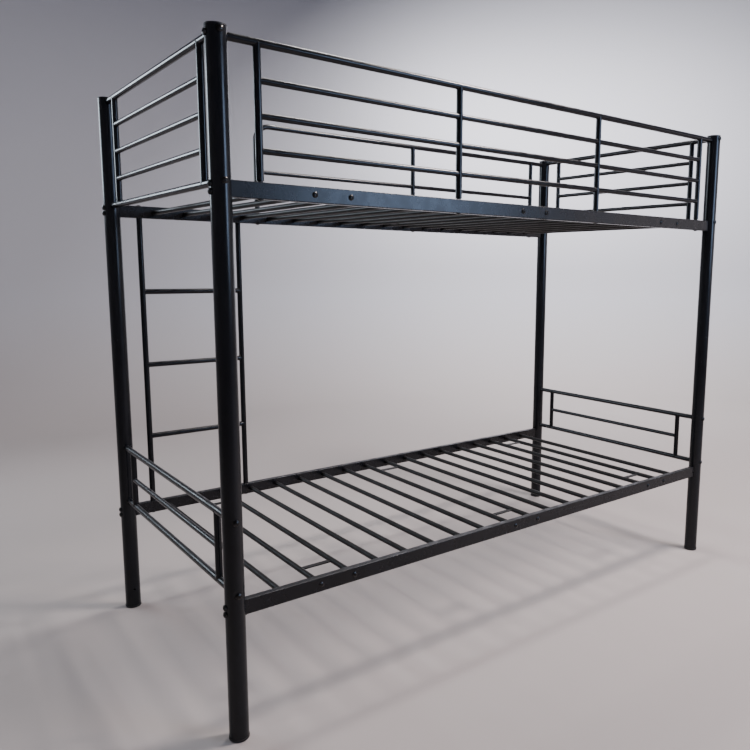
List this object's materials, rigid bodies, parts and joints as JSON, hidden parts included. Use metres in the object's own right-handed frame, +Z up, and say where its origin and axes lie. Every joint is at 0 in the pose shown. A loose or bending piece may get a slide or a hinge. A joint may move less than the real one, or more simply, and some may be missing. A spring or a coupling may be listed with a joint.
{
  "type": "bunk bed with ladder",
  "caption": "Steel-tube bunk bed: round corner posts, two slatted decks, barred ends, raised guard rails and an upright ladder between the decks at the back left.",
  "frame": {"origin": "on the floor, at the centre of the bed's plan", "axes": "+X along the bed's length, +Y from the front to the back where the ladder is, +Z up"},
  "size_m": [2.1108, 0.9858, 1.7335],
  "materials": {
    "post_paint": "satin black powder coat",
    "rail_paint": "satin black powder coat",
    "tube_paint": "satin black powder coat",
    "slat_paint": "satin black powder coat",
    "cap_plastic": "matte moulded black",
    "bolt_black": "black zinc",
    "insert_steel": "bare turned steel"
  },
  "bodies": {
    "root": {"back_guard_bars": "tube_paint", "back_guard_bent_rail": "tube_paint", "back_guard_uprights": "tube_paint", "curved_washers": "bolt_black", "end_rail_bolts": "bolt_black", "foot_cap_back_left": "cap_plastic", "foot_cap_back_right": "cap_plastic", "foot_cap_front_left": "cap_plastic", "foot_cap_front_right": "cap_plastic", "front_guard_bars": "tube_paint", "front_guard_top_rail": "tube_paint", "front_guard_uprights": "tube_paint", "guard_end_bolts": "bolt_black", "guard_foot_bolts": "bolt_black", "guard_foot_spacers": "bolt_black", "ladder_bolts": "bolt_black", "ladder_left_stile": "tube_paint", "ladder_right_stile": "tube_paint", "ladder_rung_1": "tube_paint", "ladder_rung_2": "tube_paint", "ladder_rung_3": "tube_paint", "lower_back_side_rail": "rail_paint", "lower_front_side_rail": "rail_paint", "lower_left_end_bottom_rail": "tube_paint", "lower_left_end_infill": "tube_paint", "lower_left_end_top_rail": "tube_paint", "lower_right_end_bottom_rail": "tube_paint", "lower_right_end_infill": "tube_paint", "lower_right_end_top_rail": "tube_paint", "lower_slat_frame_1": "slat_paint", "lower_slat_frame_2": "slat_paint", "lower_slat_frame_3": "slat_paint", "lower_slats": "slat_paint", "post_back_left": "post_paint", "post_back_right": "post_paint", "post_front_left": "post_paint", "post_front_right": "post_paint", "rail_end_saddles": "rail_paint", "rail_nut_plates": "insert_steel", "side_rail_bolts": "bolt_black", "slat_bolts": "bolt_black", "slat_inserts": "insert_steel", "top_cap_back_left": "cap_plastic", "top_cap_back_right": "cap_plastic", "top_cap_front_left": "cap_plastic", "top_cap_front_right": "cap_plastic", "tube_inserts": "insert_steel", "upper_back_side_rail": "rail_paint", "upper_front_side_rail": "rail_paint", "upper_left_end_bottom_rail": "tube_paint", "upper_left_end_infill": "tube_paint", "upper_left_end_top_rail": "tube_paint", "upper_right_end_bottom_rail": "tube_paint", "upper_right_end_infill": "tube_paint", "upper_right_end_top_rail": "tube_paint", "upper_slat_frame_1": "slat_paint", "upper_slat_frame_2": "slat_paint", "upper_slat_frame_3": "slat_paint", "upper_slats": "slat_paint"}
  },
  "joints": []
}
